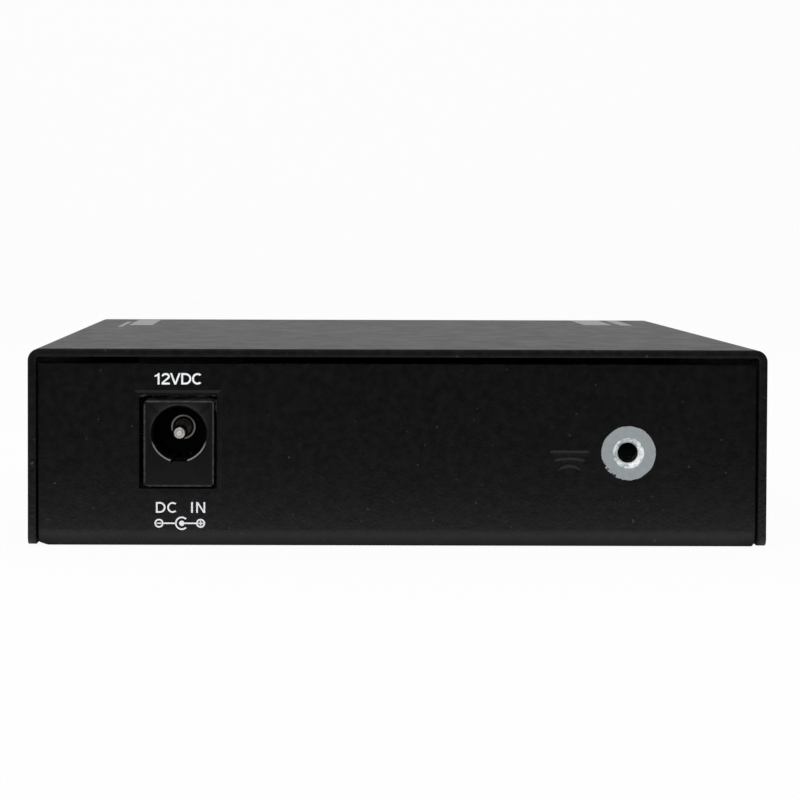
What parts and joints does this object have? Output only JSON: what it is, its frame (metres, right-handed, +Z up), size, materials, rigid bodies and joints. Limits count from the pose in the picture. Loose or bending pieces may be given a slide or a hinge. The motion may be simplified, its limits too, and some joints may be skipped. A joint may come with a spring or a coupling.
{
  "type": "fibre media converter",
  "caption": "Small black folded-steel box that joins a copper network lead to a fibre pair, with a power socket and an earth nut behind.",
  "frame": {"origin": "under the middle of the box, on the plane it stands on", "axes": "+Z up, -Y out of the rear panel with the power socket, +Y out of the front panel with the ports, +X to the right when the rear panel is faced"},
  "size_m": [0.094, 0.07, 0.0255],
  "materials": {
    "cover_paint": "black powder coat with a fine wrinkle",
    "panel_paint": "black powder coat with a fine wrinkle",
    "black_screws": "black oxide",
    "plated_steel": "zinc or nickel plated",
    "circuit_board": "green solder mask",
    "black_plastic": "moulded, satin",
    "nickel_pin": "nickel plated",
    "nickel_sheet": "nickel plated sheet",
    "gold_contacts": "gold plated",
    "module_plastic": "moulded, satin",
    "white_ceramic": "ground ceramic",
    "clip_plastic": "moulded",
    "switch_plastic": "moulded",
    "lever_plastic": "moulded",
    "lamp_lens": "tinted, clear",
    "chip_plastic": "moulded epoxy",
    "aluminium_can": "drawn can",
    "ferrite": "pressed",
    "chip_ceramic": "fired"
  },
  "bodies": {
    "case": {"cover": "cover_paint", "base_tray": "panel_paint", "cover_screws": "black_screws", "ground_nut": "plated_steel", "board_posts": "plated_steel", "board_screws": "plated_steel", "main_board": "circuit_board", "dc_jack_housing": "black_plastic", "dc_jack_pin": "nickel_pin", "dc_jack_contacts": "nickel_pin", "rj45_housing": "black_plastic", "rj45_shield": "nickel_sheet", "rj45_wires": "gold_contacts", "fibre_housing": "module_plastic", "ferrule_sleeves": "white_ceramic", "sleeve_holders": "nickel_sheet", "fibre_latches": "clip_plastic", "fibre_pins": "nickel_pin", "dip_switch_body": "switch_plastic", "dip_terminals": "nickel_pin", "led_lenses": "lamp_lens", "led_holders": "black_plastic", "led_leads": "nickel_pin", "converter_chip": "chip_plastic", "converter_leads": "nickel_pin", "magnetics_block": "chip_plastic", "magnetics_leads": "nickel_pin", "regulator_chip": "chip_plastic", "regulator_leads": "nickel_pin", "capacitor_cans": "aluminium_can", "power_inductor": "ferrite", "clock_crystal": "nickel_sheet", "power_diode": "chip_plastic", "chip_capacitors": "chip_ceramic", "chip_resistors": "chip_plastic"},
    "lever_1": {"dip_lever_1": "lever_plastic"},
    "lever_2": {"dip_lever_2": "lever_plastic"},
    "lever_3": {"dip_lever_3": "lever_plastic"},
    "lever_4": {"dip_lever_4": "lever_plastic"}
  },
  "joints": [
    {"name": "mode_switch_1", "type": "slide", "parent": "case", "child": "lever_1", "axis": [0, 0, 1], "range_m": [0, 0.0018]},
    {"name": "mode_switch_2", "type": "slide", "parent": "case", "child": "lever_2", "axis": [0, 0, 1], "range_m": [0, 0.0018]},
    {"name": "mode_switch_3", "type": "slide", "parent": "case", "child": "lever_3", "axis": [0, 0, 1], "range_m": [0, 0.0018]},
    {"name": "mode_switch_4", "type": "slide", "parent": "case", "child": "lever_4", "axis": [0, 0, 1], "range_m": [0, 0.0018]}
  ]
}
